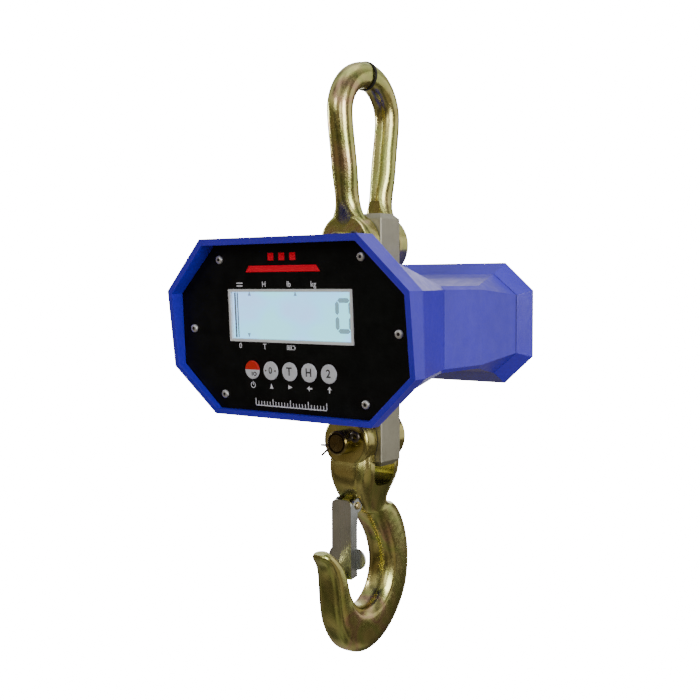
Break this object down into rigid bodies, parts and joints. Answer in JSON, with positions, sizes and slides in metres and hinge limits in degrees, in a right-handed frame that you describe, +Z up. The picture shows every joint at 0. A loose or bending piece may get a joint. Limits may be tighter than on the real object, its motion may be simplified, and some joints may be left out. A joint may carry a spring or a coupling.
{
  "type": "crane scale",
  "caption": "Hanging crane scale: bow shackle and clevis-pinned safety hook on a load bar through an eight-sided blue housing with a lit display and round keys",
  "frame": {"origin": "bearing point: the lowest point of the inside of the shackle's crown, where the scale hangs", "axes": "+Z up along the load line, -Y towards the reader of the display, +X to the reader's right"},
  "size_m": [0.2612, 0.237, 0.5409],
  "materials": {
    "zinc_yellow": "yellow chromated zinc plating, half gloss, with a drift of pink and green",
    "bar_steel": "fine milled, nickel plated",
    "bright_zinc": "bright zinc plated sheet",
    "dark_steel": "dark oiled wire",
    "stainless": "polished stainless screws",
    "rivet_brass": "yellow passivated rivet",
    "ring_black": "matt black band",
    "blue_paint": "half gloss blue powder coat with a fine orange peel",
    "panel_black": "gloss black film",
    "frame_grey": "satin light grey",
    "window_clear": "clear polished",
    "lcd_glass": "pale blue-green liquid crystal cell",
    "backlight_white": "white diffuser",
    "key_grey": "light grey cap",
    "key_red": "red cap with a grey lower half",
    "rubber_black": "matt black",
    "board_green": "green solder mask",
    "black_plastic": "fine texture",
    "battery_case": "dark grey case",
    "strap_webbing": "woven black",
    "plated_plate": "zinc plated plate",
    "lead_jacket": "smooth dark grey jacket"
  },
  "bodies": {
    "scale_body": {"load_cell_bar": "bar_steel", "gauge_cover_front": "stainless", "gauge_cover_rear": "stainless", "front_bezel": "blue_paint", "bezel_screws": "stainless", "front_housing": "blue_paint", "rear_housing": "blue_paint", "bar_bracket_left": "plated_plate", "bar_bracket_right": "plated_plate", "bracket_screws": "stainless", "housing_screws": "stainless", "bar_seal_top": "rubber_black", "bar_seal_bottom": "rubber_black", "front_panel": "panel_black", "panel_gasket": "rubber_black", "panel_screws": "stainless", "display_frame": "frame_grey", "display_window": "window_clear", "display_glass": "lcd_glass", "backlight": "backlight_white", "main_board": "board_green", "board_standoffs": "stainless", "key_switches": "black_plastic", "battery_pack": "battery_case", "battery_tray": "black_plastic", "battery_strap": "strap_webbing", "rear_cover": "blue_paint", "rear_cover_gasket": "rubber_black", "rear_cover_screws": "stainless", "charger_socket": "black_plastic", "charger_cap": "rubber_black", "load_cell_lead": "lead_jacket", "battery_lead": "lead_jacket"},
    "shackle": {"bow_shackle": "zinc_yellow", "bow_marker_ring": "ring_black", "upper_clevis_pin": "zinc_yellow", "upper_split_pin": "dark_steel"},
    "hook": {"hook": "zinc_yellow", "lower_clevis_pin": "zinc_yellow", "lower_split_pin": "dark_steel", "latch_rivet": "rivet_brass", "latch_spring": "dark_steel"},
    "latch": {"latch": "bright_zinc"},
    "button_power": {"button_power": "key_red"},
    "button_zero": {"button_zero": "key_grey"},
    "button_tare": {"button_tare": "key_grey"},
    "button_hold": {"button_hold": "key_grey"},
    "button_second": {"button_second": "key_grey"}
  },
  "joints": [
    {"name": "shackle_swing", "type": "hinge", "parent": "scale_body", "child": "shackle", "pos_m": [0, 0, -0.141], "axis": [0, 1, 0], "range_deg": [-90, 90]},
    {"name": "hook_swing", "type": "hinge", "parent": "scale_body", "child": "hook", "pos_m": [0, 0, -0.3185], "axis": [0, 1, 0], "range_deg": [-90, 90]},
    {"name": "latch_open", "type": "hinge", "parent": "hook", "child": "latch", "pos_m": [0, -0.0272, -0.3765], "axis": [1, 0, 0], "range_deg": [0, 38], "stiffness_Nm_per_rad": 0.12, "springref_deg": -45.84},
    {"name": "power_press", "type": "slide", "parent": "scale_body", "child": "button_power", "axis": [0, 0.9987, 0.0506], "range_m": [0, 0.0008], "stiffness_N_per_m": 2000, "springref_m": -0.0005},
    {"name": "zero_press", "type": "slide", "parent": "scale_body", "child": "button_zero", "axis": [0, 0.9987, 0.0506], "range_m": [0, 0.0008], "stiffness_N_per_m": 2000, "springref_m": -0.0005},
    {"name": "tare_press", "type": "slide", "parent": "scale_body", "child": "button_tare", "axis": [0, 0.9987, 0.0506], "range_m": [0, 0.0008], "stiffness_N_per_m": 2000, "springref_m": -0.0005},
    {"name": "hold_press", "type": "slide", "parent": "scale_body", "child": "button_hold", "axis": [0, 0.9987, 0.0506], "range_m": [0, 0.0008], "stiffness_N_per_m": 2000, "springref_m": -0.0005},
    {"name": "second_press", "type": "slide", "parent": "scale_body", "child": "button_second", "axis": [0, 0.9987, 0.0506], "range_m": [0, 0.0008], "stiffness_N_per_m": 2000, "springref_m": -0.0005}
  ]
}
